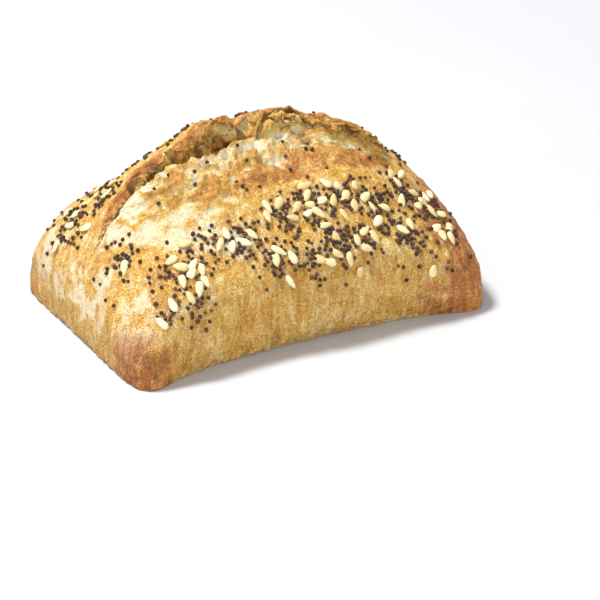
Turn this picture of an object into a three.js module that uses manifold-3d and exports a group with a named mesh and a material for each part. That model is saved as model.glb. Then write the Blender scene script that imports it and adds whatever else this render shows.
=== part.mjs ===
// A pillow-shaped bread roll with four drawn-out corners. Its top has burst open along one long slash: a
// torn, blistered crumb runs from a low front lip up to a raised ear at the back. Sesame and poppy seeds are
// baked into the skin on both sides of the tear.
// Millimetres. +X runs along the roll, +Y to its back and +Z up. The foot lies on z = 0, with the roll's box
// centred over the origin.

import * as THREE from 'three';
import { mergeVertices } from 'three/addons/utils/BufferGeometryUtils.js';
import Module from 'manifold-3d';

// Driving dimensions of the loaf
const LENGTH = 99; // at the belly, between the corners
const WIDTH = 66.2;
const DOME_HEIGHT = 43.6;
const BELLY_HEIGHT = 9.2; // level at which the sides are widest
const CROWN_ALONG = [2.15, 1.96]; // exponents of the dome's profile to the left and right, 2 for an ellipse
const CROWN_ACROSS = 1.44;
const SHOULDER = 2.1; // the same near the belly, all round
const FOOT_SQUARENESS = 6.5; // exponent of the foot's outline, 2 for an ellipse
const SQUARING = 4.6; // how late the outline squares up on its way down
const TUCK = 0.04; // share by which the foot draws in under the sides
const CORNER_TUCK = 0.015; // the same under the corners
const WAIST_FRONT = 0.11; // share by which the middle of the front's foot falls in between its corners
const WAIST_BACK = 0.04; // the same at the back
const CORNER_FRONT = [0.52, 0.48]; // how far the left and right front corners are drawn out to the front
const CORNER_BACK = [0.24, 0.26]; // the same to the back
const CORNER_BEND = 4.6; // how late that pull sets in along the roll
const DOME_SHARE = 0.84; // share of the map from crown to foot that lies above the belly
const LUMP_HEIGHT = 0.4;

// Driving dimensions of the tear and its ear
const TEAR_LEFT = -46.5;
const TEAR_RIGHT = 35;
const TEAR_MIDDLE_Y = -5.4;
const TEAR_BEND = 3.6; // how far its right end swings to the front
const TEAR_HALF_WIDTH = 10.6;
const EAR_HEIGHT = 4.9;
const EAR_LOW_END = 0.35; // height of the ear's left end as a share of its full height
const EAR_LEAN = 1.5;
const EAR_FALL = 6.5; // distance over which the ear falls away behind
const CREASE_DEPTH = 2.6;
const CREASE_PLACE = 0.8; // share of the way from front lip to back lip
const SLIT_DEPTH = 2.4; // of the narrow slit under the ear's left end
const MOUND_HEIGHT = 1.6;
const LEDGE_DEPTH = 0.8;
const CRAG_HEIGHT = 0.8;

// Blisters that burst open in the torn crumb, along the roll and as a share of the way across the tear
const BLISTERS = [
  { x: -42, share: 0.6, radius: 1.5, depth: 1.2 },
  { x: -28, share: 0.45, radius: 3.0, depth: 0.9 },
  { x: -22.5, share: 0.8, radius: 1.8, depth: 2.0 },
  { x: -15.5, share: 0.8, radius: 3.2, depth: 2.6 },
  { x: -6, share: 0.3, radius: 3.0, depth: 0.8 },
  { x: 0, share: 0.87, radius: 2.5, depth: 2.0 },
  { x: 7, share: 0.75, radius: 2.6, depth: 1.4 },
  { x: 15, share: 0.82, radius: 2.8, depth: 1.6 },
  { x: 23.5, share: 0.8, radius: 2.6, depth: 2.4 },
];

// Seeds at their real sizes, and the least gap between one and the next
const SESAME = { length: 3.3, width: 2.1, thickness: 1.3, sunk: 0.4, rings: 3, sides: 6, gap: 2.6 };
const POPPY = { length: 1.3, width: 1.2, thickness: 1.3, sunk: 0.4, rings: 2, sides: 5, gap: 2.2 };
const SEED_LINE = 17; // no seed lies lower than this
const RANDOM_SEED = 20240611;

// Where the seeds fell in heaps: middle of each heap, its spread and how many sesame seeds it holds
const HEAPS = [
  { x: -27, y: -20, spread: 4.5, count: 12 },
  { x: -8, y: -20, spread: 4, count: 6 },
  { x: 10, y: -20, spread: 6.5, count: 16 },
  { x: 33, y: -17, spread: 5.5, count: 12 },
  { x: 6, y: -27, spread: 7, count: 6 },
  { x: -42, y: 6, spread: 4.5, count: 7 },
  { x: -20, y: 18, spread: 6, count: 12 },
  { x: 6, y: 20, spread: 8, count: 14 },
  { x: 30, y: 13, spread: 7, count: 12 },
];
const POPPY_SHARE = 0.4; // fused poppy seeds for each sesame seed of a heap
const POPPY_SPREAD = 1.5; // how much wider than the sesame they scatter

// Steps of the mesh: along the roll, and in front of, across and behind the tear
const COLUMNS = 62;
const FRONT_ROWS = 15;
const TEAR_SHARES = [
  0, 0.05, 0.12, 0.2, 0.28, 0.36, 0.44, 0.52, 0.6, 0.67, 0.73, 0.78, 0.83, 0.88, 0.92, 0.96, 1,
];
const BACK_ROWS = 16;

const { sin, cos, abs, sign, min, max, PI, hypot, exp, log, sqrt } = Math;
const clamp = (value, low = 0, high = 1) => min(max(value, low), high);
const smooth = (from, to, value) => {
  const t = clamp((value - from) / (to - from));
  return t * t * (3 - 2 * t);
};
const bump = (distance, width) => exp(-((distance / width) ** 2));

const wasm = await Module();
wasm.setup();

// The same seeded numbers in every run, each from 0 to 1
let randomState = RANDOM_SEED;
const random = () => {
  randomState = (Math.imul(randomState, 1664525) + 1013904223) >>> 0;
  return (randomState + 0.5) / 4294967296;
};

// A place on the square map of the skin as a ring, 0 at the crown and 1 at the foot, and a direction (c, s)
function ringAndDirection(a, b) {
  const ring = max(abs(a), abs(b));
  if (ring === 0) return [0, 1, 0];
  const along = abs(a) >= abs(b);
  const angle = along ? (PI / 4) * (b / a) : PI / 2 - (PI / 4) * (a / b);
  const side = along ? sign(a) : sign(b);
  return [ring, cos(angle) * side, sin(angle) * side];
}

// How far a ring reaches in direction (c, s) without its corners' points, as a share of half length and
// half width
function reach(ring, c, s) {
  const t = clamp(ring / DOME_SHARE);
  const under = (clamp((ring - DOME_SHARE) / (1 - DOME_SHARE)) * PI) / 2;
  const squaring = t ** SQUARING;
  const squareness = 2 + (FOOT_SQUARENESS - 2) * squaring;
  const outline = (abs(c) ** squareness + abs(s) ** squareness) ** (-1 / squareness);
  const diagonal = (2 * c * s) ** 2;
  const tuck = 1 - (TUCK + (CORNER_TUCK - TUCK) * diagonal) * (1 - cos(under));
  return sin((t * PI) / 2) * outline * tuck;
}

// The smooth skin of the loaf. Towards the foot its long sides fall in at the middle and swing out to the
// corners.
function skin(ring, c, s) {
  const far = reach(ring, c, s);
  const t = clamp(ring / DOME_SHARE);
  const under = (clamp((ring - DOME_SHARE) / (1 - DOME_SHARE)) * PI) / 2;
  const wide = sin((t * PI) / 2);
  const crown = CROWN_ALONG[c < 0 ? 0 : 1] * c * c + CROWN_ACROSS * s * s;
  const profile = crown + (SHOULDER - crown) * wide ** 5;
  const rise = clamp(1 - wide ** profile) ** (1 / profile);
  const z = ring > DOME_SHARE
    ? BELLY_HEIGHT * (1 - sin(under))
    : BELLY_HEIGHT + (DOME_HEIGHT - BELLY_HEIGHT) * rise;
  const low = clamp((ring - 0.6) / 0.4);
  const pull = (s < 0 ? CORNER_FRONT : CORNER_BACK)[c < 0 ? 0 : 1] * abs(far * c) ** CORNER_BEND;
  const waist = s < 0 ? WAIST_FRONT : WAIST_BACK;
  const x = (LENGTH / 2) * far * c;
  const y = (WIDTH / 2) * far * s * (1 + pull * low - waist * low * low);
  return new THREE.Vector3(x, y, z);
}

// Course of the tear: 0 to 1 along it, its middle line, and its half width as a share of the widest
const tearShare = (x) => clamp((x - TEAR_LEFT) / (TEAR_RIGHT - TEAR_LEFT));
const tearMiddle = (x) => TEAR_MIDDLE_Y - TEAR_BEND * smooth(2, TEAR_RIGHT, x);
const tearWidth = (x) => sin(PI * tearShare(x)) ** 0.75;
const frontLip = (x) => tearMiddle(x) - (TEAR_HALF_WIDTH + 0.6 * sin(x / 2.9)) * tearWidth(x);
const backLip = (x) => tearMiddle(x) + (TEAR_HALF_WIDTH + 0.5 * sin(x / 3.7 + 2)) * tearWidth(x);

// The mesh lines along the lips keep apart at the ends of the tear
const lineOpening = (x) => 2.6 + 2.4 * smooth(-6, 10, x - TEAR_RIGHT);
const frontLine = (x) => min(frontLip(x), tearMiddle(x) - lineOpening(x));
const backLine = (x) => max(backLip(x), tearMiddle(x) + lineOpening(x));

// Small hollows between crags
const crag = (x, y) => {
  const folds = abs(sin(x / 1.9 + 1.7 * sin(y / 2.3))) + abs(sin(y / 1.4 + 1.4 * sin(x / 2.7)));
  return CRAG_HEIGHT * (1.1 - folds);
};

// Height of the ear at its lip: low at its left end, full from the middle on
const earHeight = (x) => {
  const rising = EAR_LOW_END + (1 - EAR_LOW_END) * smooth(-20, -9, x);
  const opening = tearWidth(x) ** 0.4 * smooth(0.02, 0.35, tearWidth(x));
  return EAR_HEIGHT * opening * rising * (1 + 0.06 * sin(x / 3.1));
};

// How far the torn surface and the ear rise over the skin at (x, y)
function tearLift(x, y) {
  const width = tearWidth(x);
  if (width < 0.01) return 0;
  const share = (y - frontLip(x)) / (backLip(x) - frontLip(x));
  const ear = earHeight(x);
  if (share >= 1) return ear * bump(y - backLip(x), EAR_FALL);
  if (share < 0) return 0;
  const mound = MOUND_HEIGHT * sin(PI * clamp(share / 0.72));
  const crease = (CREASE_DEPTH + SLIT_DEPTH * bump(x + 32, 8)) * bump(share - CREASE_PLACE, 0.1);
  const ledge = LEDGE_DEPTH * smooth(0, 0.05, share);
  const wall = smooth(0.84, 1, share);
  const inner = smooth(0, 0.12, share) * (1 - smooth(0.93, 1, share)) * width * smooth(0.05, 0.4, width);
  let lift = width * smooth(0.05, 0.4, width) * (mound - crease - ledge) * (1 - wall) + ear * wall;
  lift += inner * crag(x, y);
  for (const blister of BLISTERS) {
    const blisterY = frontLip(blister.x) + blister.share * (backLip(blister.x) - frontLip(blister.x));
    const distance = hypot((x - blister.x) / 1.2, y - blisterY);
    lift -= blister.depth * inner * bump(distance, blister.radius * 0.8);
  }
  return lift;
}

// The baked surface: the skin with its lumps, the tear and the ear, which leans forward over the crease
function crust(ring, c, s) {
  const point = skin(ring, c, s);
  const { x, y, z } = point;
  const outward = new THREE.Vector3(x * 0.45, y, z - BELLY_HEIGHT * 0.7).normalize();
  const lumps = sin(x / 5.3 + 1.1) * cos(y / 4.7 + 0.6) + sin((x - y + z) / 8.9);
  const high = smooth(BELLY_HEIGHT, SEED_LINE + 4, z);
  const behindLip = y - backLip(x);
  const lean = EAR_LEAN * tearWidth(x) * bump(behindLip, behindLip > 0 ? 2.4 : 1.2);
  point.addScaledVector(outward, LUMP_HEIGHT * lumps * smooth(0, BELLY_HEIGHT, z) * smooth(0, 0.2, ring));
  point.addScaledVector(outward, tearLift(x, y) * high);
  point.y -= lean * high;
  return point;
}

// Where a column of the square map crosses a line y = line(x) over the roll, found by halving
function crossing(a, line) {
  let low = -1;
  let high = 1;
  for (let step = 0; step < 30; step += 1) {
    const b = (low + high) / 2;
    const point = skin(...ringAndDirection(a, b));
    if (point.y < line(point.x)) low = b;
    else high = b;
  }
  return low;
}

// The baked surface over a place (x, y) above the belly, its ring found by halving
function crustOver(x, y) {
  const far = hypot(x / (LENGTH / 2), y / (WIDTH / 2));
  const [c, s] = [x / (LENGTH / 2) / far, y / (WIDTH / 2) / far];
  let low = 0;
  let high = DOME_SHARE;
  for (let step = 0; step < 30; step += 1) {
    const ring = (low + high) / 2;
    if (reach(ring, c, s) < far) low = ring;
    else high = ring;
  }
  return crust(low, c, s);
}

// Places along a run from 0 to 1 that crowd towards its start
const crowded = (steps, power) => Array.from({ length: steps }, (_, k) => (k / steps) ** power);

// Every column of the square map is cut at both lips, so the rows of the mesh follow them
function crustGrid() {
  const front = crowded(FRONT_ROWS, 1.15);
  const back = crowded(BACK_ROWS, 1.15).reverse();
  const grid = [];
  for (let i = 0; i <= COLUMNS; i += 1) {
    const u = (2 * i) / COLUMNS - 1;
    const a = sign(u) * (1 - (1 - abs(u)) ** 1.15);
    const atFront = crossing(a, frontLine);
    const atBack = crossing(a, backLine);
    const rows = [
      ...front.map((share) => -1 + (atFront + 1) * share),
      ...TEAR_SHARES.map((share) => atFront + (atBack - atFront) * share),
      ...back.map((share) => 1 - (1 - atBack) * share),
    ];
    grid.push(rows.map((b) => crust(...ringAndDirection(a, b))));
  }
  return grid;
}

function solidFrom(geometry) {
  geometry.deleteAttribute('normal');
  geometry.deleteAttribute('uv');
  const merged = mergeVertices(geometry, 1e-4);
  return new wasm.Manifold(new wasm.Mesh({
    numProp: 3,
    vertProperties: new Float32Array(merged.attributes.position.array),
    triVerts: new Uint32Array(merged.index.array),
  }));
}

// The loaf as one closed solid: the gridded crust, each cell split along its shorter diagonal, and a flat
// foot fanned out from its middle
function loafSolid() {
  const grid = crustGrid();
  const rows = grid[0].length;
  const points = [...grid.flat(), new THREE.Vector3(0, 0, 0)];
  const triangles = [];
  for (let i = 0; i < COLUMNS; i += 1) {
    for (let j = 0; j < rows - 1; j += 1) {
      const near = i * rows + j;
      const far = near + rows;
      const rising = points[near].distanceTo(points[far + 1]) < points[far].distanceTo(points[near + 1]);
      if (rising) triangles.push(near, far, far + 1, near, far + 1, near + 1);
      else triangles.push(near, far, near + 1, far, far + 1, near + 1);
    }
  }
  const rim = [];
  for (let i = 0; i < COLUMNS; i += 1) rim.push(i * rows);
  for (let j = 0; j < rows - 1; j += 1) rim.push(COLUMNS * rows + j);
  for (let i = COLUMNS; i > 0; i -= 1) rim.push(i * rows + rows - 1);
  for (let j = rows - 1; j > 0; j -= 1) rim.push(j);
  rim.forEach((vertex, k) => triangles.push(rim[(k + 1) % rim.length], vertex, points.length - 1));
  const geometry = new THREE.BufferGeometry().setFromPoints(points);
  geometry.setIndex(triangles);
  return solidFrom(geometry);
}

// A seed as a ball drawn out to its size, with one end of a sesame seed narrower than the other
function seedSolid(kind, place, turn) {
  const geometry = new THREE.SphereGeometry(0.5, kind.sides, kind.rings).rotateZ(PI / 2);
  const position = geometry.attributes.position;
  for (let k = 0; k < position.count; k += 1) {
    const along = position.getX(k);
    const narrow = kind === SESAME ? 1 - 0.6 * along : 1;
    const across = position.getY(k) * kind.width * narrow;
    position.setXYZ(k, along * kind.length, across, position.getZ(k) * kind.thickness);
  }
  const up = new THREE.Vector3(0, 0, 1);
  geometry.applyQuaternion(new THREE.Quaternion().setFromAxisAngle(up, turn));
  geometry.applyQuaternion(new THREE.Quaternion().setFromUnitVectors(up, place.normal));
  const lift = kind.thickness / 2 - kind.sunk;
  geometry.translate(...place.point.clone().addScaledVector(place.normal, lift).toArray());
  return solidFrom(geometry);
}

// A place on the crust for a seed, or nothing where (x, y) is in the tear, too low or too near another seed
function seedPlace(x, y, gap, taken) {
  if (hypot(x / (LENGTH / 2), y / (WIDTH / 2)) > 0.97) return null;
  if (y > frontLip(x) - 1 && y < backLip(x) + 1.2) return null;
  const point = crustOver(x, y);
  if (point.z < SEED_LINE) return null;
  if (taken.some((other) => other.distanceTo(point) < gap)) return null;
  const along = crustOver(x + 0.3, y).sub(crustOver(x - 0.3, y));
  const across = crustOver(x, y + 0.3).sub(crustOver(x, y - 0.3));
  return { point, normal: along.cross(across).normalize() };
}

// Seeds of one kind scattered over the heaps, thinning out from the middle of each
function scatter(kind, share, spread, taken) {
  const seeds = [];
  for (const heap of HEAPS) {
    let left = Math.round(heap.count * share);
    for (let attempt = 0; attempt < 400 && left > 0; attempt += 1) {
      const far = heap.spread * spread * sqrt(-2 * log(random()));
      const angle = 2 * PI * random();
      const turn = 2 * PI * random();
      const place = seedPlace(heap.x + far * cos(angle), heap.y + far * sin(angle), kind.gap, taken);
      if (!place) continue;
      taken.push(place.point);
      seeds.push(seedSolid(kind, place, turn));
      left -= 1;
    }
  }
  return seeds;
}

const taken = [];
const sesame = scatter(SESAME, 1, 1, taken);
const poppies = scatter(POPPY, POPPY_SHARE, POPPY_SPREAD, taken);
const fused = wasm.Manifold.union([loafSolid(), ...sesame, ...poppies]);

// A seed that lies over a hollow and touches nothing is dropped with its scraps
const seeded = fused.decompose().sort((one, other) => other.volume() - one.volume())[0];

const box = seeded.boundingBox();
const middleX = (box.min[0] + box.max[0]) / 2;
const middleY = (box.min[1] + box.max[1]) / 2;
const result = seeded.translate([-middleX, -middleY, -box.min[2]]).getMesh();
const geometry = new THREE.BufferGeometry();
geometry.setAttribute('position', new THREE.BufferAttribute(new Float32Array(result.vertProperties), 3));
geometry.setIndex(new THREE.BufferAttribute(new Uint32Array(result.triVerts), 1));
geometry.computeVertexNormals();
const baked = new THREE.MeshStandardMaterial({ color: 0xd9a65a, roughness: 0.8, metalness: 0 });
const bread = new THREE.Mesh(geometry, baked);
bread.name = 'bread_roll';
const group = new THREE.Group();
group.add(bread);
export default group;
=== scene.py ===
"""The looks of a burst-open bread roll, seeded with sesame and poppy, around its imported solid.

Shapes are worked out in millimetres as whole arrays, and go into Blender in metres.
"""

import math

import bpy
import numpy as np
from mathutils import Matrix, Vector


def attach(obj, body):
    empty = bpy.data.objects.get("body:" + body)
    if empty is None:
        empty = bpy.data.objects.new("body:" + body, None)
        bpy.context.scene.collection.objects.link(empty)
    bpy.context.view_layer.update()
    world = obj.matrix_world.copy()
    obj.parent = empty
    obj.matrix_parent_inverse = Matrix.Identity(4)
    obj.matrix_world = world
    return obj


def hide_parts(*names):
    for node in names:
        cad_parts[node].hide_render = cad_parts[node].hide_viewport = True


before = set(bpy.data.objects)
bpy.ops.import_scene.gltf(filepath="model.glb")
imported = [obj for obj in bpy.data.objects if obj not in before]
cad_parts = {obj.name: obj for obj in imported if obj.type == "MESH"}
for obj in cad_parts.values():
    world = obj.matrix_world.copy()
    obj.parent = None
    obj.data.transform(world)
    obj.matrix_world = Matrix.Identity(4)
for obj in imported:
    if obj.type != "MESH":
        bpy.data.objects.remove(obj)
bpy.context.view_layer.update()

MM = 0.001

# The loaf, as in the part
LENGTH, WIDTH = 99.0, 66.2
DOME_HEIGHT, BELLY_HEIGHT = 43.6, 9.2
CROWN_ALONG, CROWN_ACROSS, SHOULDER = (2.15, 1.96), 1.44, 2.1
FOOT_SQUARENESS, SQUARING = 6.5, 4.6
TUCK, CORNER_TUCK, WAIST_FRONT, WAIST_BACK = 0.04, 0.015, 0.11, 0.04
CORNER_FRONT, CORNER_BACK, CORNER_BEND = (0.52, 0.48), (0.24, 0.26), 4.6
DOME_SHARE, LUMP_HEIGHT = 0.84, 0.4
CENTRED = (0.0, 0.67, 0.0)  # moves the roll so that its box is centred over the origin

# The tear and its ear, as in the part
TEAR_LEFT, TEAR_RIGHT = -46.5, 35.0
TEAR_MIDDLE_Y, TEAR_BEND, TEAR_HALF_WIDTH = -5.4, 3.6, 10.6
EAR_HEIGHT, EAR_LOW_END, EAR_LEAN, EAR_FALL = 4.9, 0.35, 1.5, 6.5
CREASE_DEPTH, CREASE_PLACE, SLIT_DEPTH = 2.6, 0.8, 2.4
MOUND_HEIGHT, LEDGE_DEPTH = 1.6, 0.8
SEED_LINE, LOWEST_SEED = 17.0, 11.0
SLIT_SHARE = 0.88  # where the slit at its left end runs, as a share of the way across

# Caves under the ear: place along the roll, share of the way across, half length, half height as a
# share, and how far they go in
CAVES = (
    (-8.4, 0.83, 3.9, 0.040, 2.6),
    (-15.2, 0.81, 2.6, 0.045, 2.4),
    (-14.0, 0.90, 1.2, 0.025, 1.4),
    (-21.0, 0.87, 1.0, 0.030, 1.0),
    (-1.6, 0.87, 1.3, 0.030, 1.0),
    (4.4, 0.86, 1.5, 0.030, 1.0),
    (10.6, 0.90, 3.0, 0.022, 2.2),
    (23.3, 0.87, 2.4, 0.035, 1.8),
)

# Pockets in the crumb in front of it, in the same way, but going down
POCKETS = (
    (-41.3, 0.93, 1.3, 0.10, 0.9),
    (-32.0, 0.26, 2.6, 0.12, 0.8),
    (-25.6, 0.12, 2.4, 0.11, 0.6),
    (-26.0, 0.42, 1.4, 0.06, 1.1),
    (-2.3, 0.13, 3.0, 0.06, 0.5),
    (-1.8, 0.34, 1.8, 0.05, 0.6),
    (2.4, 0.66, 2.2, 0.09, 1.3),
    (11.0, 0.66, 2.9, 0.09, 1.3),
    (8.4, 0.42, 0.9, 0.04, 0.9),
    (20.0, 0.55, 2.0, 0.06, 0.8),
)

# Burst blisters in the torn crumb: place along the roll, share of the way across, radius, depth
BLISTERS = (
    (-42.0, 0.60, 1.5, 1.2),
    (-28.0, 0.45, 3.0, 0.9),
    (-22.5, 0.80, 1.8, 2.0),
    (-15.5, 0.80, 3.2, 2.6),
    (-6.0, 0.30, 3.0, 0.8),
    (0.0, 0.87, 2.5, 2.0),
    (7.0, 0.75, 2.6, 1.4),
    (15.0, 0.82, 2.8, 1.6),
    (23.5, 0.80, 2.6, 2.4),
)

# Steps of the crust's mesh, which crowd towards the foot by a power, and the share of the tear at which
# the rows of the ear's wall start
COLUMNS = 380
FRONT_ROWS, CRUMB_ROWS, WALL_ROWS, BACK_ROWS = 78, 66, 46, 66
CROWDING, WALL_START = 1.15, 0.76

# Seeds fell in heaps: middle, spread along and across the roll, sesame seeds, poppy seeds
HEAPS_IN_FRONT = (
    (-42, -15, 4.0, 4.0, 1, 34),
    (-36, -24, 3.0, 2.0, 0, 20),
    (-37, -30, 3.0, 2.0, 2, 18),
    (-31, -31, 2.5, 1.5, 0, 18),
    (-30, -26, 2.6, 2.4, 12, 22),
    (-22, -23, 3.0, 2.0, 2, 24),
    (-15, -24, 3.5, 3.0, 3, 44),
    (-9, -29, 3.0, 1.6, 3, 30),
    (-2, -21, 2.5, 3.0, 5, 38),
    (0, -30, 3.0, 1.3, 3, 30),
    (6, -20, 2.5, 3.0, 8, 38),
    (8, -28, 2.5, 2.5, 5, 38),
    (14, -20, 3.0, 2.0, 7, 38),
    (15, -29, 2.5, 1.5, 4, 26),
    (22, -23, 3.0, 3.0, 3, 46),
    (28, -29, 3.0, 2.5, 2, 40),
    (32, -18, 2.5, 5.0, 4, 40),
    (38, -21, 3.0, 4.5, 9, 48),
    (38, -33, 4.0, 1.2, 1, 6),
)
HEAPS_BEHIND = (
    (-44, 10, 3.0, 5.0, 5, 46),
    (-38, 3, 3.0, 2.5, 1, 26),
    (-30, 14, 4.0, 4.0, 7, 50),
    (-20, 17, 5.0, 5.0, 9, 85),
    (-8, 14, 4.0, 4.0, 6, 55),
    (4, 20, 6.0, 5.0, 10, 95),
    (16, 17, 4.5, 5.0, 8, 80),
    (28, 13, 5.0, 5.0, 9, 80),
    (38, 4, 3.0, 7.0, 7, 55),
    (10, 8, 14.0, 1.5, 3, 45),
    (-12, 9, 9.0, 1.5, 2, 25),
)
STRAY_POPPIES = 22  # in the tear

# Seeds: length, width and thickness, how far these vary, how far apart seeds lie, the share of one that is
# sunk in the crust, and the usual slope at which one lies
SESAME_SIZE, SESAME_VARIES = (3.75, 2.05, 0.95), 0.08
POPPY_SIZE, POPPY_VARIES, POPPY_FLATTEST = 1.08, 0.09, 0.85
SESAME_GAP, POPPY_GAP, GAP_BETWEEN_KINDS = 2.3, 0.74, 1.1
SESAME_SUNK, POPPY_SUNK = 0.1, 0.3
SESAME_TILT, POPPY_TILT = 0.13, 0.2

# Light and floor, in metres and watts
KEY_LIGHT = {"place": (-0.28, 0.22, 0.9), "size": 0.2, "power": 12.6, "colour": (1.0, 0.995, 0.985)}
FILL_LIGHT = {"place": (-0.35, -1.1, 0.32), "size": 0.9, "power": 7.4, "colour": (1.0, 1.0, 1.0)}
STUDIO_LIGHT = 0.52
FLOOR_HALF = 3.0

# Camera: long lens, from the front left and above, framed as the photograph is
TURN, RISE, AWAY = math.radians(-28.222), math.radians(25.671), 0.65
SENSOR, LENS, SHIFT_RIGHT, SHIFT_UP = 36, 156, 0.078, -0.0075

# One seeded source for every random draw
draws = np.random.default_rng(20240611)


def clamp(value, low=0.0, high=1.0):
    """The value, held between low and high."""
    return np.minimum(np.maximum(value, low), high)


def smooth(start, end, value):
    """Rises by a cubic from 0 at start to 1 at end, level at both."""
    t = clamp((value - start) / (end - start))
    return t * t * (3 - 2 * t)


def plateau(rise, fall, value):
    """0, then 1 from the rise's end to the fall's start, then 0 again."""
    return smooth(*rise, value) * (1 - smooth(*fall, value))


def split(points):
    """The three coordinates of an array of points."""
    return points[..., 0], points[..., 1], points[..., 2]


def bump(distance, width):
    """A bell curve: 1 at no distance, about a third at one width."""
    return np.exp(-((distance / width) ** 2))


def lattice(cell, seed):
    """A repeatable random number from 0 to 1 for each whole-numbered point, mixed from its coordinates by
    large odd factors and shifts."""
    x, y, z = split(cell)
    mixed = x * 73856093 ^ y * 19349663 ^ z * 83492791 ^ seed * 40503
    mixed = (mixed & 0xFFFFFFFF) * 2246822519 & 0xFFFFFFFF
    mixed = (mixed ^ mixed >> 13) * 3266489917 & 0xFFFFFFFF
    return (mixed ^ mixed >> 16) / 4294967295.0


def noise(points, size, seed):
    """Smooth random field, about -1 to 1, with lumps about size wide: slopes hashed at the corners of a
    lattice, each carried to the point and blended. The shift keeps the lattice's numbers positive."""
    place = points / size + 512.3 + seed * 7.31
    cell = np.floor(place).astype(np.int64)
    inner = place - cell
    blend = inner**3 * (inner * (inner * 6 - 15) + 10)
    total = np.zeros(points.shape[:-1])
    for corner in np.ndindex(2, 2, 2):
        at = cell + np.array(corner)
        weight = np.prod(np.where(np.array(corner) == 1, blend, 1 - blend), axis=-1)
        away = inner - np.array(corner)
        slope = sum((lattice(at, seed * 3 + k) * 2 - 1) * away[..., k] for k in range(3))
        total += weight * slope
    return total * 1.9


def layered(points, size, seed, layers=3):
    """Noise with finer and fainter noise on it, each layer half as wide and half as strong."""
    return sum(noise(points, size / 2**k, seed + k) / 2**k for k in range(layers))


def cells(points, size, seed):
    """Distance from each point to the nearest of one random centre per lattice cell, in cell widths, and
    a random number of that centre."""
    place = points / size + 300.7
    cell = np.floor(place).astype(np.int64)
    nearest = np.full(points.shape[:-1], 9.0)
    owner = np.zeros(points.shape[:-1])
    for step in np.ndindex(3, 3, 3):
        at = cell + np.array(step) - 1
        centre = at + np.stack([lattice(at, seed + k) for k in range(3)], -1)
        distance = np.linalg.norm(place - centre, axis=-1)
        closer = distance < nearest
        nearest = np.where(closer, distance, nearest)
        owner = np.where(closer, lattice(at, seed + 7), owner)
    return nearest, owner


# The loaf's surface


def ring_and_direction(a, b):
    """A place on the skin's square map as a ring, 0 at the crown and 1 at the foot, and a direction."""
    ring = np.maximum(np.abs(a), np.abs(b))
    along = np.abs(a) >= np.abs(b)
    with np.errstate(divide="ignore", invalid="ignore"):
        angle = np.where(along, math.pi / 4 * (b / a), math.pi / 2 - math.pi / 4 * (a / b))
    angle = np.where(ring == 0, 0.0, angle)
    side = np.where(along, np.where(a < 0, -1.0, 1.0), np.where(b < 0, -1.0, 1.0))
    return ring, np.cos(angle) * side, np.sin(angle) * side


def reach(ring, c, s):
    """How far a ring reaches in a direction, as a share of half length and half width: a sine of the ring
    times a superellipse that squares up on its way down, drawn in under the belly."""
    t = clamp(ring / DOME_SHARE)
    under = clamp((ring - DOME_SHARE) / (1 - DOME_SHARE)) * math.pi / 2
    squareness = 2 + (FOOT_SQUARENESS - 2) * t**SQUARING
    outline = (np.abs(c) ** squareness + np.abs(s) ** squareness) ** (-1 / squareness)
    diagonal = (2 * c * s) ** 2
    tuck = 1 - (TUCK + (CORNER_TUCK - TUCK) * diagonal) * (1 - np.cos(under))
    return np.sin(t * math.pi / 2) * outline * tuck


def skin(ring, c, s):
    """The smooth skin: superellipse profiles from crown to belly, then a rounded tuck down to the foot. Low
    down the long sides fall in at the middle and swing out to the corners by a power of the place along."""
    far = reach(ring, c, s)
    t = clamp(ring / DOME_SHARE)
    under = clamp((ring - DOME_SHARE) / (1 - DOME_SHARE)) * math.pi / 2
    wide = np.sin(t * math.pi / 2)
    crown = np.where(c < 0, *CROWN_ALONG) * c * c + CROWN_ACROSS * s * s
    profile = crown + (SHOULDER - crown) * wide**5
    rise = clamp(1 - wide**profile) ** (1 / profile)
    dome = BELLY_HEIGHT + (DOME_HEIGHT - BELLY_HEIGHT) * rise
    z = np.where(ring > DOME_SHARE, BELLY_HEIGHT * (1 - np.sin(under)), dome)
    low = clamp((ring - 0.6) / 0.4)
    pull = np.where(s < 0, np.where(c < 0, *CORNER_FRONT), np.where(c < 0, *CORNER_BACK))
    pull = pull * np.abs(far * c) ** CORNER_BEND
    waist = np.where(s < 0, WAIST_FRONT, WAIST_BACK)
    x = LENGTH / 2 * far * c
    y = WIDTH / 2 * far * s * (1 + pull * low - waist * low * low)
    return np.stack([x, y, z], -1)


def tear_middle(x):
    """Place across the roll of the tear's middle: level, and bent forward at the right by a smooth step."""
    return TEAR_MIDDLE_Y - TEAR_BEND * smooth(2, TEAR_RIGHT, x)


def tear_width(x):
    """How wide the tear is as a share of its widest: half a sine wave along it, made blunter by a power."""
    share = clamp((x - TEAR_LEFT) / (TEAR_RIGHT - TEAR_LEFT))
    return clamp(np.sin(math.pi * share)) ** 0.75


def front_lip(x):
    """Place across the roll of the low lip: half the width before the middle, wavering by a sine."""
    return tear_middle(x) - (TEAR_HALF_WIDTH + 0.6 * np.sin(x / 2.9)) * tear_width(x)


def back_lip(x):
    """Place across the roll of the ear's lip: half the width behind the middle, wavering by a sine."""
    return tear_middle(x) + (TEAR_HALF_WIDTH + 0.5 * np.sin(x / 3.7 + 2)) * tear_width(x)


def tear_share(x, y):
    """0 at the front lip and 1 at the back lip."""
    return (y - front_lip(x)) / np.maximum(back_lip(x) - front_lip(x), 0.01)


def ear_height(x):
    """Rise of the ear over the skin: a power of the tear's width, low at the left end, with a slow wave."""
    width = tear_width(x)
    rising = EAR_LOW_END + (1 - EAR_LOW_END) * smooth(-20, -9, x)
    return EAR_HEIGHT * width**0.4 * smooth(0.02, 0.35, width) * rising * (1 + 0.06 * np.sin(x / 3.1))


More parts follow.
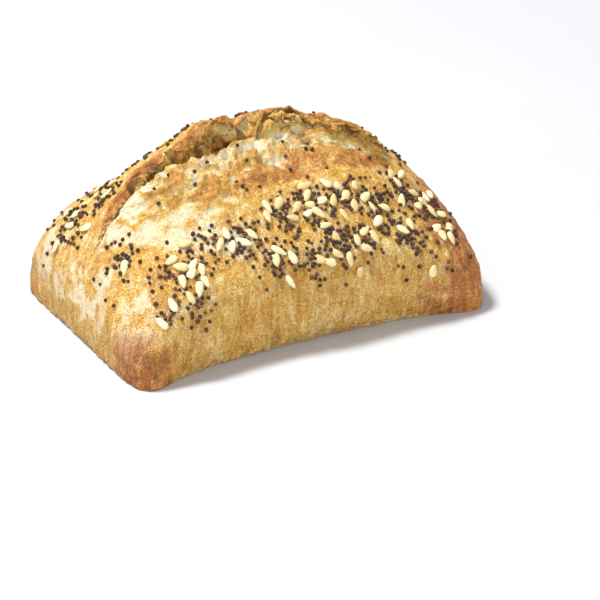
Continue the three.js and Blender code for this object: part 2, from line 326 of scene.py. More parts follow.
def blister_bumps(x, y):
    """Each blister's bell curve over the tear, and its depth."""
    for place, share, radius, depth in BLISTERS:
        middle = front_lip(place) + share * (back_lip(place) - front_lip(place))
        yield bump(np.hypot((x - place) / 1.2, y - middle), radius * 0.8), depth


def opening(places, x, share, points, ragged):
    """How far into an opening each point is, 0 at its ragged rim and 1 well inside, times its depth, summed
    over the openings."""
    total = np.zeros(x.shape)
    wander = ragged * layered(spread_wall(points, share), 2.4, 83, 3)
    for middle, across, long, high, depth in places:
        away = np.hypot((x - middle) / long, (share - across) / high) + wander
        total = np.maximum(total, depth * smooth(1.05, 0.55, away))
    return total


def spread_wall(points, share):
    """The same places with those on the ear's steep wall drawn apart, so that a pattern keeps its scale."""
    return points + smooth(0.74, 1.0, share)[..., None] * np.array([0, 6.0, 0])


def crumb_texture(points):
    """Ridges, about -1 to 1, of two sizes, and small round pores from 0 to 1."""
    ridges = 1 - 2.2 * np.abs(layered(points * (0.75, 1.15, 1), 5.0, 11))
    folds = 1 - 2.0 * np.abs(layered(points * (1.1, 0.9, 1), 2.3, 17))
    bent = points + 0.5 * noise(points, 1.7, 67)[..., None]
    near, owner = cells(bent, 3.1, 61)
    pores = smooth(0.46, 0.2, near) * (owner > 0.45)
    near, owner = cells(bent, 1.35, 63)
    pores = np.maximum(pores, 0.45 * smooth(0.42, 0.2, near) * (owner > 0.5))
    return ridges, folds, pores


def wall_texture(points, share):
    """The same for the ear's wall, taken from another part of the fields."""
    return crumb_texture(spread_wall(points, share) + 31)


def stretched_skin(x, share):
    """1 where the skin was drawn out smooth in front of the crumb instead of torn."""
    upper = 0.24 + 0.2 * smooth(2, 14, x)
    return smooth(-15, -6, x) * (1 - smooth(upper, upper + 0.16, share))


def front_spill(x):
    """How far in front of the lip, as a share, the skin is pale and uneven: widest at the left."""
    return 0.34 * plateau((-46, -40), (-20, -6), x)


def strap(x, share):
    """1 on the smooth strap over the slit at the ear's left end."""
    return plateau((-44, -40), (-25, -21.5), x) * plateau((0.89, 0.93), (1.0, 1.03), share)


def tear_lift(x, y, points):
    """How far the torn surface and the ear rise over the skin: a mound, a crease before the ear's steep
    wall, ridges, pores and pockets inside the lips, and the ear falling away behind."""
    width = tear_width(x)
    share = tear_share(x, y)
    drawn = points * (1, 0.3, 0.3)
    ear = ear_height(x) * (1 + 0.16 * noise(drawn, 3.2, 71) + 0.08 * noise(drawn, 1.2, 72))
    opened = width * smooth(0.05, 0.4, width)
    low = 1 - 0.75 * smooth(-22, -12, x)
    mound = MOUND_HEIGHT * np.sin(math.pi * clamp(share / 0.72)) * low
    crease = bump(share - CREASE_PLACE + 0.05 * (1 - low), 0.1)
    crease = crease * (CREASE_DEPTH + SLIT_DEPTH * bump(x + 32, 8))
    crease = crease * (1 - (0.55 + 0.4 * smooth(2, 12, x)) * smooth(-9, 0, x))
    slit = 1.8 * bump(share - SLIT_SHARE, 0.03) * plateau((-42, -38), (-26, -23), x)
    ledge = LEDGE_DEPTH * smooth(0, 0.14, share)
    wall = smooth(0.78 - 0.24 * smooth(-2, 14, x), 1, share)
    left = 1 - smooth(-20, -8, x)
    inner = smooth(-0.12 * left, 0.14, share) * (1 - smooth(0.93, 1, share)) * opened
    lift = opened * (mound - crease - ledge - slit) * (1 - wall) + ear * wall
    ridges, folds, pores = crumb_texture(spread_wall(points, share))
    rough = (1 - 0.85 * stretched_skin(x, share)) * (1 - 0.8 * strap(x, share))
    lift = lift + inner * rough * (1.25 * ridges + 0.5 * folds - 0.75 * pores - 0.3)
    lift = lift + inner * rough * 1.1 * smooth(0.35, 0.6, share) * noise(points, 3.8, 91)
    lift = lift - inner * opening(POCKETS, x, share, points, 0.35)
    for bell, depth in blister_bumps(x, y):
        lift = lift - 0.35 * depth * inner * bell
    inside = (share > 0) & (share < 1) & (width > 0.01)
    behind = ear * bump(y - back_lip(x), EAR_FALL)
    spill = smooth(-front_spill(x) - 0.05, 0.02, share) * (share <= 0) * opened * left
    before = spill * (0.4 * ridges + 0.3 * folds - 0.3 * pores - 0.1)
    return np.where(inside, lift, np.where((share >= 1) & (width > 0.01), behind, before))


def crust_base(ring, c, s):
    """The baked surface without its fine relief: the skin with its lumps, the tear, and the ear, which
    leans forward over the crease."""
    point = skin(ring, c, s)
    x, y, z = split(point)
    outward = np.stack([x * 0.45, y, z - BELLY_HEIGHT * 0.7], -1)
    outward /= np.linalg.norm(outward, axis=-1, keepdims=True)
    lumps = np.sin(x / 5.3 + 1.1) * np.cos(y / 4.7 + 0.6) + np.sin((x - y + z) / 8.9)
    high = smooth(BELLY_HEIGHT, SEED_LINE + 4, z)
    behind = y - back_lip(x)
    lean = EAR_LEAN * tear_width(x) * bump(behind, np.where(behind > 0, 2.4, 1.2))
    lift = LUMP_HEIGHT * lumps * smooth(0, BELLY_HEIGHT, z) * smooth(0, 0.2, ring)
    lift = lift + tear_lift(x, y, point) * high
    shaped = point + outward * lift[..., None]
    shaped[..., 1] -= lean * high
    share = tear_share(x, y)
    facing = (1 - smooth(0.985, 1.01, share)) * smooth(0.05, 0.4, tear_width(x)) * high
    caved = opening(CAVES, x, share, point, 0.45) * facing
    ridges, folds, pores = wall_texture(point, share)
    wall = plateau((0.74, 0.82), (0.9, 1.0), share) * facing * (1 - 0.8 * strap(x, share))
    shaped[..., 1] += caved - wall * (1.7 * ridges + folds - 0.8 * pores)
    shaped[..., 2] -= 0.3 * caved
    return shaped, point


def fine_relief(flat):
    """Height of the fine relief over the baked surface: blistered skin, wrinkles down the sides, nicks
    along the foot, and a rough crumb between the lips."""
    x, y, z = split(flat)
    share = tear_share(x, y)
    torn = plateau((0.0, 0.1), (0.96, 1.02), share) * smooth(0.01, 0.2, tear_width(x))
    up = smooth(0.5, 4, z)
    broad = 0.32 * layered(flat, 7.5, 23)
    grain = 0.13 * layered(flat, 1.5, 29)
    wrinkles = -0.16 * np.abs(noise(flat * (1, 1, 0.22), 2.1, 37)) * plateau((2, 8), (16, 26), z)
    nicks = 0.5 * noise(flat * (1, 1, 1.6), 2.3, 41) * plateau((0, 0.6), (1.0, 4.5), z)
    crumb = 0.13 * layered(flat, 1.1, 47)
    return (1 - torn) * up * (broad + grain + wrinkles) + nicks + torn * crumb


def column_crossing(a, line):
    """Where columns of the square map cross a line over the roll, found by halving."""
    low, high = np.full(a.shape, -1.0), np.full(a.shape, 1.0)
    for _ in range(34):
        b = (low + high) / 2
        point = skin(*ring_and_direction(a, b))
        before = point[..., 1] < line(point[..., 0])
        low, high = np.where(before, b, low), np.where(before, high, b)
    return low


def line_opening(x):
    """Half the room between the rows that follow the lips, where the tear itself has closed."""
    return 2.6 + 2.4 * smooth(-6, 10, x - TEAR_RIGHT)


def crust_grid():
    """The surface on a grid of columns whose rows follow both lips, as in the part but far finer."""
    u = np.linspace(-1, 1, COLUMNS + 1)
    a = np.sign(u) * (1 - (1 - np.abs(u)) ** CROWDING)
    at_front = column_crossing(a, lambda x: np.minimum(front_lip(x), tear_middle(x) - line_opening(x)))
    at_back = column_crossing(a, lambda x: np.maximum(back_lip(x), tear_middle(x) + line_opening(x)))
    front = (np.arange(FRONT_ROWS) / FRONT_ROWS) ** CROWDING
    crumb = np.linspace(0, WALL_START, CRUMB_ROWS, endpoint=False)
    wall = np.linspace(WALL_START, 1, WALL_ROWS, endpoint=False)
    back = (1 - np.arange(BACK_ROWS + 1) / BACK_ROWS) ** CROWDING
    tear = np.concatenate([crumb, wall])
    b = np.concatenate(
        [
            -1 + (at_front[:, None] + 1) * front,
            at_front[:, None] + (at_back - at_front)[:, None] * tear,
            1 - (1 - at_back)[:, None] * back,
        ],
        axis=1,
    )
    wide_a = np.repeat(a[:, None], b.shape[1], axis=1)
    shaped, flat = crust_base(*ring_and_direction(wide_a, b))
    along = np.gradient(shaped, axis=0)
    across = np.gradient(shaped, axis=1)
    normal = np.cross(along, across)
    normal /= np.maximum(np.linalg.norm(normal, axis=-1, keepdims=True), 1e-9)
    dressed = shaped + normal * fine_relief(flat)[..., None]
    dressed[..., 2] = np.maximum(dressed[..., 2], 0)
    for edge in (np.s_[0, :], np.s_[-1, :], np.s_[:, 0], np.s_[:, -1]):
        dressed[edge + (2,)] = 0
    return dressed, flat


def crust_over(x, y):
    """The dressed surface over places (x, y) above the belly, and its normals."""

    def surface(px, py):
        """The crust over (px, py): the ring is found by halving, and the place is put right five times, as
        the waist and the corners draw the skin sideways."""
        near_x, near_y = px, py
        for _ in range(5):
            far = np.maximum(np.hypot(near_x / (LENGTH / 2), near_y / (WIDTH / 2)), 1e-6)
            c, s = near_x / (LENGTH / 2) / far, near_y / (WIDTH / 2) / far
            low, high = np.zeros(px.shape), np.full(px.shape, DOME_SHARE)
            for _ in range(24):
                ring = (low + high) / 2
                inside = reach(ring, c, s) < far
                low, high = np.where(inside, ring, low), np.where(inside, high, ring)
            reached = skin(low, c, s)
            near_x, near_y = near_x + px - reached[..., 0], near_y + py - reached[..., 1]
        return crust_base(low, c, s)

    shaped, flat = surface(x, y)
    step = 0.35
    along = surface(x + step, y)[0] - surface(x - step, y)[0]
    across = surface(x, y + step)[0] - surface(x, y - step)[0]
    normal = np.cross(along, across)
    normal /= np.linalg.norm(normal, axis=-1, keepdims=True)
    return shaped + normal * fine_relief(flat)[..., None], normal


# Meshes


def grid_faces(columns, rows):
    """Two triangles for each cell of a grid of points, numbered column by column."""
    first = (np.arange(columns - 1)[:, None] * rows + np.arange(rows - 1)).ravel()
    return np.concatenate(
        [
            np.stack([first, first + rows, first + rows + 1], -1),
            np.stack([first, first + rows + 1, first + 1], -1),
        ]
    )


def make_piece(name, points, triangles, attributes, material):
    """A smooth-shaded mesh in metres, with numbers kept at its points, that rides on the roll."""
    mesh = bpy.data.meshes.new(name)
    mesh.vertices.add(len(points))
    mesh.vertices.foreach_set("co", (points * MM).astype(np.float32).ravel())
    mesh.loops.add(triangles.size)
    mesh.loops.foreach_set("vertex_index", triangles.astype(np.int32).ravel())
    mesh.polygons.add(len(triangles))
    mesh.polygons.foreach_set("loop_start", np.arange(0, triangles.size, 3, dtype=np.int32))
    mesh.polygons.foreach_set("use_smooth", np.ones(len(triangles), dtype=bool))
    mesh.update(calc_edges=True)
    mesh.validate()
    for label, values in attributes.items():
        held = mesh.attributes.new(label, "FLOAT", "POINT")
        held.data.foreach_set("value", values.astype(np.float32).ravel())
    mesh.materials.append(material)
    piece = bpy.data.objects.new(name, mesh)
    bpy.context.scene.collection.objects.link(piece)
    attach(piece, "root")
    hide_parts("bread_roll")


def torn_marks(x, share, width, drift, near):
    """How far the skin is torn at all, and how far down to the crumb: 1 between the lips, with ragged
    edges, faint on the strap, and no crumb where the skin was only drawn out."""
    spill = front_spill(x)
    before = smooth(-0.04 - spill, 0.14 - 0.4 * spill, share + 0.08 * near)
    torn = before * (1 - smooth(0.98, 1.02, share + 0.03 * near))
    torn = torn * smooth(0.02, 0.25, width) * (1 - 0.9 * strap(x, share))
    crumb = torn * (1 - stretched_skin(x + 3 * drift, share + 0.14 * near + 0.06 * drift))
    return torn, crumb


def painted_shade_mark(flat, share, pores):
    """Painted shade deep inside: caves, pores, pockets and the slit behind the strap, as a number that
    darkens the crumb's colour.
    """
    x = flat[..., 0]
    caved = opening(CAVES, x, share, flat, 0.45)
    pocketed = opening(POCKETS, x, share, flat, 0.35)
    slit = plateau((-43, -39), (-26, -23), x)
    painted_shade = smooth(0.1, 1.1, caved) + 0.45 * pores + 0.3 * smooth(0.1, 0.7, pocketed)
    return painted_shade + 0.9 * bump(share - SLIT_SHARE, 0.03) * slit


def toast_mark(flat, share, width, drift, near):
    """Browning of the ear's lip, of the foot's corners by powers of the place along and across, and of the
    right end."""
    x, y, z = split(flat)
    behind = y - back_lip(x)
    lip = 1 - smooth(-0.4, 0.2 + 1.4 * smooth(-24, -10, x), behind + 0.7 * near)
    lip = lip * smooth(0.9, 0.97, share + 0.04 * near)
    foot_corner = (np.abs(x) / 49) ** 4 * (np.abs(y) / 33) ** 2 * (1 - smooth(7, 20, z))
    right_end = smooth(25, 46, x + 6 * drift + 3 * near) * (1 - smooth(22, 34, z))
    toast = 0.95 * lip * smooth(0.1, 0.5, width)
    return toast + (1.9 + 0.4 * np.sign(x)) * foot_corner * (0.8 + 0.5 * drift) + right_end


def flour_mark(flat, share, torn, drift, near):
    """Flour along the foot's edge, on the left end, in patches, and on the skin in front of the tear's
    left half."""
    x, _, z = split(flat)
    rim = 1 - smooth(0.3, 1.8, z + 1.2 * near)
    left_end = smooth(34, 47, -x) * plateau((3, 10), (20, 28), z)
    pale_front = (1 - smooth(0.3, 0.6, np.abs(share + 0.15))) * (1 - smooth(-24, -6, x)) * (share < 0.6)
    flour = 0.3 * rim + left_end * clamp(0.6 + 0.9 * drift) + 0.3 * smooth(0.1, 0.8, drift)
    return flour + 1.4 * pale_front * (1 - torn) * clamp(0.8 + 0.7 * drift)


def crest_mark(x, share, wall, ridges, folds, pores):
    """How far the crumb stands up, which makes it paler: its relief, with a few fades along and across."""
    crest = 0.4 + 0.5 * ridges + 0.25 * folds - 0.2 * pores + 0.1 * wall
    crest = crest + 0.05 * smooth(0, 14, x) - 0.12 * smooth(24, 34, -x) - 0.4 * bump(share - 0.58, 0.1)
    return crest + 0.35 * bump(x + 26, 7) * bump(share - 0.15, 0.3)


def dust_mark(x, y):
    """Grey dust where poppy seeds lie thick: a bell curve for each heap, as strong as the heap is dense."""
    return sum(
        poppies / (along * across) * bump(np.hypot((x - px) / along, (y - py) / across), 1.5)
        for px, py, along, across, _, poppies in HEAPS_IN_FRONT
    )


def crust_marks(flat):
    """Numbers that the finish reads: how torn, toasted, floury, crested and dusted a point is, and how much
    painted shade it gets.
    """
    x, y, _ = split(flat)
    share, width = tear_share(x, y), tear_width(x)
    drift, near = layered(flat, 6.0, 53), layered(flat, 2.2, 59)
    torn, crumb = torn_marks(x, share, width, drift, near)
    strapped = strap(x, share)
    drawn_out = torn * (1 - crumb)
    stretched = drawn_out * (1 - strapped)
    bridged = strapped * smooth(0.02, 0.25, width)
    wall = smooth(0.74, 0.84, share)
    before, behind = crumb_texture(spread_wall(flat, share)), wall_texture(flat, share)
    ridges, folds, pores = (low + wall * (high - low) for low, high in zip(before, behind))
    # Painted shade in caves, pores, pockets and the slit; the strap and the drawn-out skin are darkened by
    # the same mark
    painted_shade = painted_shade_mark(flat, share, pores * crumb) + 0.35 * bridged + 0.3 * stretched
    toast = toast_mark(flat, share, width, drift, near) + 1.3 * bridged
    toast = toast + stretched * clamp(0.66 + 0.35 * drift + 0.3 * near)
    flour = flour_mark(flat, share, torn, drift, near) - 0.7 * strapped - 0.4 * drawn_out
    crest = crest_mark(x, share, wall, ridges, folds, pores)
    return {
        "torn": clamp(crumb),
        "toast": clamp(toast),
        "flour": clamp(flour),
        "painted_shade": clamp(painted_shade),
        "crest": clamp(crest, 0.5 * wall, 1),
        "dust": clamp(dust_mark(x, y) / 7) * (1 - torn),
    }


def make_crust(material):
    """The whole roll as one closed skin, its foot closed by a fan from the middle."""
    dressed, flat = crust_grid()
    columns, rows = dressed.shape[:2]
    triangles = grid_faces(columns, rows)
    number = np.arange(columns * rows).reshape(columns, rows)
    rim = np.concatenate([number[:-1, 0], number[-1, :-1], number[:0:-1, -1], number[0, :0:-1]])
    middle = columns * rows
    fan = np.stack([np.roll(rim, -1), rim, np.full(len(rim), middle)], -1)
    points = np.concatenate([dressed.reshape(-1, 3), [[0, 0, 0]]])
    marks = {label: np.append(values.ravel(), 0) for label, values in crust_marks(flat).items()}
    make_piece("crust", points + CENTRED, np.concatenate([triangles, fan]), marks, material)


def seed_body(around, steps, narrow):
    """One seed of length, width and thickness 1, drawn out along x: a circle of points carried from tip
    to tip, with one end narrower than the other."""
    way = np.linspace(0, math.pi, steps + 1)[1:-1]
    turn = np.arange(around) * 2 * math.pi / around
    along = -np.cos(way) / 2
    ring = np.sin(way) / 2 * (1 - narrow * along)
    x = np.repeat(along, around)
    y = (ring[:, None] * np.cos(turn)).ravel()
    z = (ring[:, None] * np.sin(turn)).ravel()
    points = np.concatenate([np.stack([x, y, z], -1), [[-0.5, 0, 0], [0.5, 0, 0]]])
    first = (np.arange(steps - 2)[:, None] * around + np.arange(around)).ravel()
    beside = (np.arange(steps - 2)[:, None] * around + (np.arange(around) + 1) % around).ravel()
    near, far = len(points) - 2, len(points) - 1
    start = np.arange(around)
    end = start + (steps - 2) * around
    triangles = np.concatenate(
        [
            np.stack([first, beside + around, first + around], -1),
            np.stack([first, beside, beside + around], -1),
            np.stack([np.full(around, near), np.roll(start, -1), start], -1),
            np.stack([np.full(around, far), end, np.roll(end, -1)], -1),
        ]
    )
    return points, triangles


def make_seeds(name, body, places, sizes, sunk, slope, material):
    """Copies of one seed laid on the crust: each turned to a random heading in the skin's plane, tipped a
    little, sized, and sunk by a share of its thickness."""
    points, triangles = body
    count, each = len(places), len(points)
    headings = draws.uniform(0, 2 * math.pi, count)
    tilt = draws.normal(0, slope, (count, 2))
    spot, normal = crust_over(places[:, 0], places[:, 1])
    level = np.stack([np.cos(headings), np.sin(headings)], -1)
    climb = -(normal[:, :2] * level).sum(-1) / np.maximum(normal[:, 2], 0.15)
    along = np.concatenate([level, climb[:, None]], -1)
    side = np.cross(normal, along)
    side /= np.linalg.norm(side, axis=-1, keepdims=True)
    along = np.cross(side, normal)
    up = normal + along * tilt[:, :1] + side * tilt[:, 1:]
    up /= np.linalg.norm(up, axis=-1, keepdims=True)
    along = np.cross(side, up)
    along /= np.linalg.norm(along, axis=-1, keepdims=True)
    side = np.cross(up, along)
    middle = spot + up * (sizes[:, 2] * (0.5 - sunk))[:, None]
    scaled = points[None] * sizes[:, None]
    placed = (
        middle[:, None]
        + scaled[..., :1] * along[:, None]
        + scaled[..., 1:2] * side[:, None]
        + scaled[..., 2:] * up[:, None]
    )
    faces = (triangles[None] + np.arange(count)[:, None, None] * each).reshape(-1, 3)
    marks = {"shade": np.repeat(draws.random(count), each), "tip": np.tile(points[:, 0] + 0.5, count)}
    make_piece(name, placed.reshape(-1, 3) + CENTRED, faces, marks, material)


def scatter(heaps, gap, taken=None, clear=0.0):
    """Random places round each heap's middle, thinning outwards, off the tear and its lip, above the lowest
    seeds, a gap apart from each other on the crust and clear of the places taken."""
    tries, heap_of = [], []
    for number, (x, y, along, across, wanted) in enumerate(heaps):
        asked = wanted * 5
        away = draws.normal(0, (along, across), (asked, 2)) * draws.uniform(0.15, 1.3, (asked, 1))
        tries.append((x, y) + away)
        heap_of.append(np.full(asked, number))
    tries, heap_of = np.concatenate(tries), np.concatenate(heap_of)
    x, y = tries[:, 0], tries[:, 1]
    spots = crust_over(x, y)[0]
    share = tear_share(x, y)
    opened = tear_width(x) > 0.02
    in_tear = (share > -0.02) & (share < 1.02) & opened
    on_lip = (y > back_lip(x)) & (y < back_lip(x) + 0.8 * gap) & opened
    held = np.linalg.norm(spots[:, :2] - tries, axis=1) < 3
    good = held & ~in_tear & ~on_lip & (spots[:, 2] > LOWEST_SEED)
    if taken is not None:
        taken_spots = crust_over(taken[:, 0], taken[:, 1])[0]
        apart = np.linalg.norm(spots[:, None] - taken_spots, axis=-1).min(axis=1)
        good = good & (apart > clear)
    chosen, left = [], [heap[4] for heap in heaps]
    for number in np.flatnonzero(good):
        if left[heap_of[number]] == 0:
            continue
        if chosen and np.linalg.norm(spots[chosen] - spots[number], axis=1).min() < gap:
            continue
        chosen.append(number)
        left[heap_of[number]] -= 1
    return tries[chosen]


def strays(count):
    """Single places in the front half of the tear."""
    x = draws.uniform(TEAR_LEFT + 6, TEAR_RIGHT - 4, count)
    y = front_lip(x) + draws.uniform(0.05, 0.6, count) * (back_lip(x) - front_lip(x))
    return np.stack([x, y], -1)


# Finishes. Colours are given as they look on screen, from the darkest tone to the palest

GOLDEN_SKIN = (
    (0.02, (170, 106, 34)),
    (0.28, (192, 137, 38)),
    (0.52, (208, 160, 63)),
    (0.75, (220, 182, 102)),
    (0.98, (240, 216, 158)),
)
TOASTED_SKIN = ((0.06, (122, 64, 14)), (0.6, (180, 106, 32)), (1.0, (216, 158, 76)))
CREAM_CRUMB = (
    (0.0, (188, 130, 44)),
    (0.22, (208, 166, 78)),
    (0.44, (218, 196, 134)),
    (0.66, (222, 212, 184)),
)
BROWNED_CRUMB = ((0.0, (150, 88, 24)), (0.35, (204, 142, 60)), (0.7, (232, 192, 116)))
# Dark crumb colour painted into caves, pores, pockets and the slit as shade
PAINTED_SHADE_CRUMB = ((0.35, (118, 66, 20)), (0.65, (198, 142, 70)))
SEED_DUST = ((0.35, (112, 86, 58)), (0.65, (204, 182, 136)))
FLOUR, PALE_SPECK, BROWN_PIT = (238, 224, 190), (240, 216, 160), (146, 88, 28)
SESAME_HULL = ((0.1, (214, 178, 116)), (0.5, (234, 212, 160)), (0.9, (244, 230, 194)))
SESAME_POINT = (196, 150, 92)
POPPY_COAT = (
    (0.0, (26, 19, 19)),
    (0.4, (44, 29, 26)),
    (0.75, (72, 43, 34)),
    (1.0, (112, 70, 50)),
)
# Pale colour of the net's ridges: partly the coat's own colour, partly painted highlight
POPPY_NET_AND_HIGHLIGHT = (140, 112, 96)
POPPY_PIT = 0.26  # width of a pit in its coat, in millimetres
FLOOR_TONES = ((0.0, (196, 197, 200)), (1.0, (199, 200, 203)))


def paint(colour):
    """A colour given as it looks on screen, 0 to 255, as the linear light that a shader takes."""
    levels = np.array(colour) / 255
    light = np.where(levels <= 0.04045, levels / 12.92, ((levels + 0.055) / 1.055) ** 2.4)
    return (*light, 1.0)


class Finish:
    """A material's node tree, written as sums."""

    def __init__(self, name):
        self.material = bpy.data.materials.new(name)
        self.material.use_nodes = True
        self.tree = self.material.node_tree
        self.shader = self.tree.nodes["Principled BSDF"]
        self.place = self.add("ShaderNodeTexCoord").outputs["Object"]

    def add(self, kind, settings=None, **inputs):
        """A node with its settings and its inputs, whose names are given with underscores for spaces."""
        node = self.tree.nodes.new(kind)
        for label, value in (settings or {}).items():
            setattr(node, label, value)
        for label, value in inputs.items():
            self.feed(node.inputs[label.replace("_", " ")], value)
        return node

    def feed(self, socket, value):
        """Links a value that comes from a node, and sets any other."""
        if isinstance(value, bpy.types.NodeSocket):
            self.tree.links.new(value, socket)
        else:
            socket.default_value = value

    def mark(self, label):
        """A number kept at the mesh's points."""
        return self.add("ShaderNodeAttribute", {"attribute_name": label}).outputs["Fac"]

    def sum(self, operation, *values):
        """One sum by its name in the shader editor."""
        node = self.add("ShaderNodeMath", {"operation": operation})
        for socket, value in zip(node.inputs, values):
            self.feed(socket, value)
        return node.outputs[0]

    def times(self, first, second, plus=0.0):
        """Two values multiplied, and a third added."""
        return self.sum("MULTIPLY_ADD", first, second, plus)

    def noise(self, size, detail=3.0, roughness=0.55, stretch=None):
        """Noise about 0.5 whose lumps are about size millimetres wide."""
        place = self.place
        if stretch:
            place = self.add("ShaderNodeMapping", Vector=place, Scale=stretch).outputs[0]
        fineness = 1 / (size * MM)
        layers = {"Detail": detail, "Roughness": roughness}
        return self.add("ShaderNodeTexNoise", Vector=place, Scale=fineness, **layers).outputs["Fac"]

    def around(self, middle, *parts):
        """A tone that swings about the middle by each field's strength."""
        tone = middle
        for field, strength in parts:
            tone = self.sum("ADD", tone, self.times(field, strength, -0.5 * strength))
        return tone

    def between(self, value, low, high):
        """0 below low and 1 above high."""
        node = self.add("ShaderNodeMapRange", {"interpolation_type": "SMOOTHSTEP"}, Value=value)
        node.inputs["From Min"].default_value = low
        node.inputs["From Max"].default_value = high
        return node.outputs["Result"]

    def ramp(self, value, stops):
        """Colours blended from stop to stop along the value."""
        node = self.add("ShaderNodeValToRGB", Fac=value)
        elements = node.color_ramp.elements
        while len(elements) < len(stops):
            elements.new(0.5)
        for element, (position, colour) in zip(elements, stops):
            element.position = position
            element.color = paint(colour)
        return node.outputs["Color"]

    def mix(self, share, first, second):
        """The first colour with a share of the second."""
        node = self.add("ShaderNodeMix", {"data_type": "RGBA"})
        self.feed(node.inputs[0], share)
        self.feed(node.inputs[6], first)
        self.feed(node.inputs[7], second)
        return node.outputs[2]

    def coat(self, **inputs):
        """The material, once its surface has the inputs given, with underscores for spaces again."""
        for label, value in inputs.items():
            self.feed(self.shader.inputs[label.replace("_", " ")], value)
        return self.material

    def relief(self, height, depth, normal=None):
        """Bump of a depth in millimetres."""
        node = self.add("ShaderNodeBump", Height=height, Distance=depth * MM, Strength=1.0)
        if normal:
            self.feed(node.inputs["Normal"], normal)
        return node.outputs["Normal"]


def baked_crust():
    """Golden skin with pale grain, toasted corners and lip, flour, and a cream crumb where it is torn."""
    look = Finish("baked_crust")
    torn, toast, flour = look.mark("torn"), look.mark("toast"), look.mark("flour")
    painted_shade, dust, crest = look.mark("painted_shade"), look.mark("dust"), look.mark("crest")
    patches = look.noise(8.0, 3.0)
    mottle = look.noise(1.9, 4.0, 0.6)
    streaks = look.noise(1.5, 3.0, 0.6, stretch=(1.0, 1.0, 0.18))
    grain = look.noise(0.5, 3.0, 0.65)
    speck = look.noise(0.33, 2.0, 0.5)

    tone = look.around(0.5, (patches, 1.1), (mottle, 0.7), (streaks, 1.5), (grain, 1.8))
    browning = look.between(look.around(toast, (mottle, 0.7)), 0.1, 0.95)
    colour = look.mix(browning, look.ramp(tone, GOLDEN_SKIN), look.ramp(tone, TOASTED_SKIN))
    greyed = look.times(dust, look.between(mottle, 0.42, 0.6))
    colour = look.mix(look.times(greyed, 0.7), colour, look.ramp(grain, SEED_DUST))

    risen = look.times(crest, -0.8, 0.8)
    crumb_tone = look.around(risen, (patches, 0.6), (mottle, 0.7), (grain, 1.2))
    cream, browned = look.ramp(crumb_tone, CREAM_CRUMB), look.ramp(crumb_tone, BROWNED_CRUMB)
    crumb = look.mix(look.times(browning, 0.85), cream, browned)
    colour = look.mix(torn, colour, crumb)
    # Painted shade: the dark crumb colour laid into caves, pores, pockets and the slit
    colour = look.mix(look.times(painted_shade, 0.72), colour, look.ramp(mottle, PAINTED_SHADE_CRUMB))

    held = look.times(flour, 0.85, -0.08)
    floured = look.between(look.around(held, (mottle, 0.6), (speck, 1.7), (streaks, 1.0)), 0.12, 0.95)
    floured = look.times(floured, look.times(browning, -0.65, 0.85))
    colour = look.mix(floured, colour, paint(FLOUR))
    plain = look.times(look.sum("MAXIMUM", torn, browning), -0.65, 1.0)
    pale = look.times(look.between(speck, 0.56, 0.68), plain)
    colour = look.mix(look.times(pale, 0.45), colour, paint(PALE_SPECK))
    pit_strength = look.times(torn, -0.25, 0.4)
    pitted = look.times(look.between(grain, 0.42, 0.32), pit_strength)
    colour = look.mix(pitted, colour, paint(BROWN_PIT))
    coarse = look.relief(mottle, 0.8, look.relief(streaks, 0.5))
    return look.coat(
        Base_Color=colour,
        Roughness=look.times(grain, 0.4, 0.35),
        Normal=look.relief(speck, 0.2, look.relief(grain, 0.4, coarse)),
        Subsurface_Weight=0.05,
        Subsurface_Radius=(1.0, 0.75, 0.5),
        Subsurface_Scale=1.5 * MM,
        Specular_IOR_Level=0.5,
    )


def sesame_hull():
    """Cream hull, a shade browner at the narrow tip and from seed to seed."""
    look = Finish("sesame_hull")
    shade, tip = look.mark("shade"), look.mark("tip")
    mottle = look.noise(0.9, 3.0)
    tone = look.times(shade, 0.6, look.times(mottle, 0.6, -0.1))
    pointed = look.times(look.between(tip, 0.8, 1.0), 0.4)
    colour = look.mix(pointed, look.ramp(tone, SESAME_HULL), paint(SESAME_POINT))
    return look.coat(
        Base_Color=colour,
        Roughness=look.times(mottle, 0.2, 0.32),
        Normal=look.relief(look.noise(0.5), 0.06),
        Subsurface_Weight=0.2,
        Subsurface_Radius=(1.0, 0.7, 0.4),
        Subsurface_Scale=MM,
    )


def poppy_coat():
    """Blue-black to brown coat with a fine net of pits whose paler ridges are partly the coat's own colour
    and partly painted highlight.
    """
    look = Finish("poppy_coat")
    shade = look.mark("shade")
    edges = {"feature": "DISTANCE_TO_EDGE"}
    net = look.add("ShaderNodeTexVoronoi", edges, Vector=look.place, Scale=1 / (POPPY_PIT * MM))
    ridge = look.between(net.outputs["Distance"], 0.18, 0.02)
    # The net's ridges are painted paler, partly as painted highlight
    colour = look.mix(look.times(ridge, 0.4), look.ramp(shade, POPPY_COAT), paint(POPPY_NET_AND_HIGHLIGHT))
    return look.coat(
        Base_Color=colour,
        Roughness=look.times(ridge, 0.25, 0.45),
        Normal=look.relief(ridge, 0.06),
        Specular_IOR_Level=0.25,
    )


def pale_floor():
    """Plain, nearly white, with the faintest unevenness."""
    look = Finish("pale_floor")
    return look.coat(Base_Color=look.ramp(look.noise(60.0, 2.0), FLOOR_TONES), Roughness=0.9)


# Floor, light and camera


def lay_floor():
    """A square far wider than the view."""
    mesh = bpy.data.meshes.new("floor")
    corners = [(-FLOOR_HALF, -FLOOR_HALF, 0), (FLOOR_HALF, -FLOOR_HALF, 0)]
    corners += [(FLOOR_HALF, FLOOR_HALF, 0), (-FLOOR_HALF, FLOOR_HALF, 0)]
    mesh.from_pydata(corners, [], [(0, 1, 2, 3)])
    mesh.materials.append(pale_floor())
    floor = bpy.data.objects.new("floor", mesh)
    bpy.context.scene.collection.objects.link(floor)


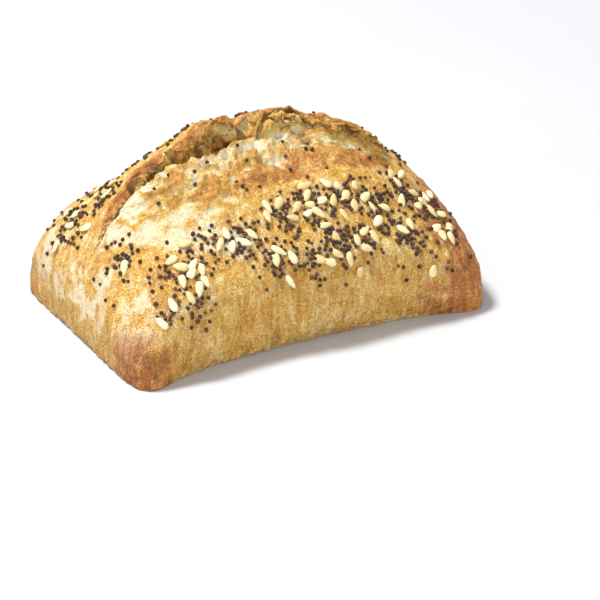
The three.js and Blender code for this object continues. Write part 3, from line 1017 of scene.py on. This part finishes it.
def soft_light(name, place, size, power, colour):
    """A square lamp of a size in metres that faces the roll."""
    lamp = bpy.data.lights.new(name, "AREA")
    lamp.size = size
    lamp.energy = power
    lamp.color = colour
    holder = bpy.data.objects.new(name, lamp)
    holder.location = place
    holder.rotation_euler = (Vector((0, 0, 0.02)) - Vector(place)).to_track_quat("-Z", "Y").to_euler()
    bpy.context.scene.collection.objects.link(holder)


def light_room():
    """The same white light from every side, under the two lamps."""
    world = bpy.data.worlds.new("studio")
    world.use_nodes = True
    background = world.node_tree.nodes["Background"]
    background.inputs["Color"].default_value = (1.0, 1.0, 1.0, 1.0)
    background.inputs["Strength"].default_value = STUDIO_LIGHT
    bpy.context.scene.world = world
    bpy.context.scene.view_settings.view_transform = "Standard"


def place_camera():
    """A camera turned and raised about the origin."""
    level = math.cos(RISE)
    forward = Vector((-math.sin(TURN) * level, math.cos(TURN) * level, -math.sin(RISE)))
    lens = bpy.data.cameras.new("camera")
    lens.sensor_width = SENSOR
    lens.lens = LENS
    lens.shift_x = SHIFT_RIGHT
    lens.shift_y = SHIFT_UP
    lens.clip_start = 0.01
    camera = bpy.data.objects.new("camera", lens)
    camera.location = -forward * AWAY
    camera.rotation_euler = forward.to_track_quat("-Z", "Y").to_euler()
    bpy.context.scene.collection.objects.link(camera)
    bpy.context.scene.camera = camera


# Making it

make_crust(baked_crust())

heaps = HEAPS_IN_FRONT + HEAPS_BEHIND
sesame = scatter([heap[:5] for heap in heaps], SESAME_GAP)
sesame_sizes = SESAME_SIZE * draws.normal(1, SESAME_VARIES, (len(sesame), 3))
sesame_body = seed_body(around=8, steps=6, narrow=0.7)
make_seeds("sesame_seeds", sesame_body, sesame, sesame_sizes, SESAME_SUNK, SESAME_TILT, sesame_hull())

poppies = scatter([heap[:4] + heap[5:] for heap in heaps], POPPY_GAP, sesame, GAP_BETWEEN_KINDS)
poppies = np.concatenate([poppies, strays(STRAY_POPPIES)])
flattened = draws.uniform((1, POPPY_FLATTEST, POPPY_FLATTEST), 1, (len(poppies), 3))
poppy_sizes = POPPY_SIZE * draws.normal(1, POPPY_VARIES, (len(poppies), 1)) * flattened
poppy_body = seed_body(around=7, steps=4, narrow=0.15)
make_seeds("poppy_seeds", poppy_body, poppies, poppy_sizes, POPPY_SUNK, POPPY_TILT, poppy_coat())

lay_floor()
soft_light("key_light", **KEY_LIGHT)
soft_light("fill_light", **FILL_LIGHT)
light_room()
place_camera()

bpy.context.view_layer.update()
